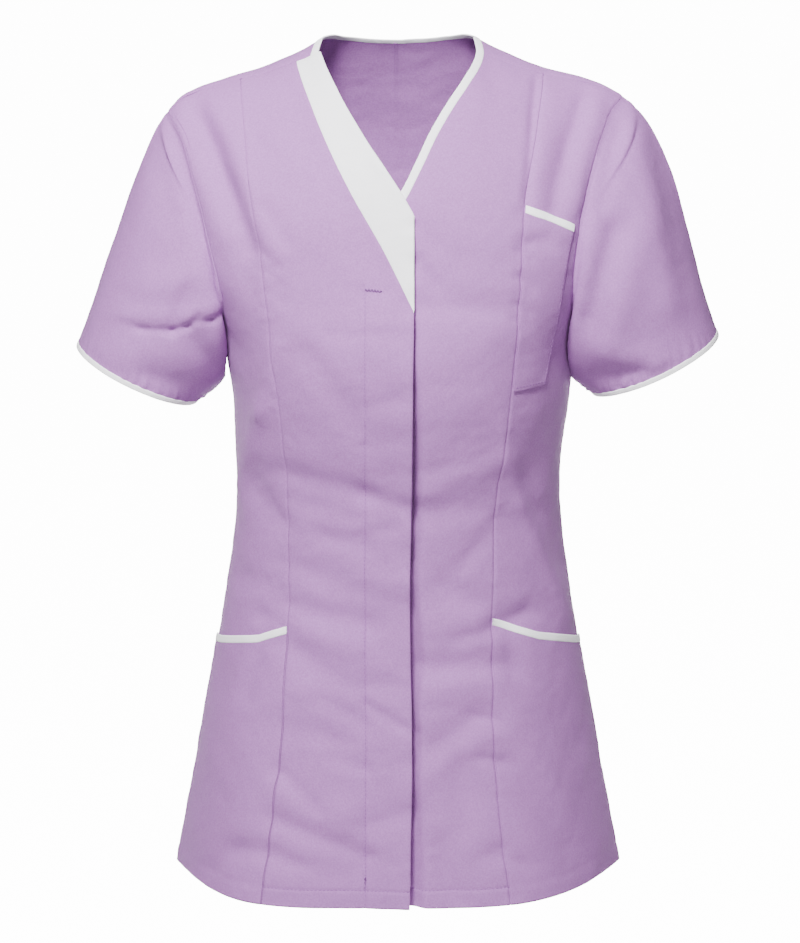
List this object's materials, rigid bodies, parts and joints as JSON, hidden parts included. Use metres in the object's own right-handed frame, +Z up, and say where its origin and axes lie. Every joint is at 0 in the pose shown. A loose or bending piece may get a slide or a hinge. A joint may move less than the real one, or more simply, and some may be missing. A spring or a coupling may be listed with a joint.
{
  "type": "short-sleeved V-neck work tunic, worn",
  "caption": "Hip-length work tunic, worn by nobody: V neck with contrast lapel, concealed front fastening, bound patch pockets and flared short sleeves.",
  "frame": {"origin": "the middle of the line between the neck ends of the two shoulder seams, where the wearer's shoulders hold the tunic up", "axes": "+X to the wearer's left, -Y to the front, +Z up"},
  "size_m": [0.5303, 0.2426, 0.7017],
  "materials": {
    "lilac_cloth": "matt plain-weave polycotton",
    "white_cloth": "matt plain-weave polycotton, contrast trim",
    "stud_metal": "plain"
  },
  "bodies": {
    "root": {"front_right_centre": "lilac_cloth", "front_right_side": "lilac_cloth", "front_left_centre": "lilac_cloth", "front_left_side": "lilac_cloth", "back_right": "lilac_cloth", "back_left": "lilac_cloth", "sleeve_right": "lilac_cloth", "sleeve_left": "lilac_cloth", "lapel": "white_cloth", "neck_binding": "white_cloth", "sleeve_binding_right": "white_cloth", "sleeve_binding_left": "white_cloth", "hip_pocket_right": "lilac_cloth", "hip_pocket_left": "lilac_cloth", "hip_pocket_binding_right": "white_cloth", "hip_pocket_binding_left": "white_cloth", "chest_pocket": "lilac_cloth", "chest_pocket_binding": "white_cloth", "stud_1": "stud_metal", "stud_2": "stud_metal", "stud_3": "stud_metal", "stud_4": "stud_metal", "stud_5": "stud_metal", "stud_6": "stud_metal"}
  },
  "joints": []
}
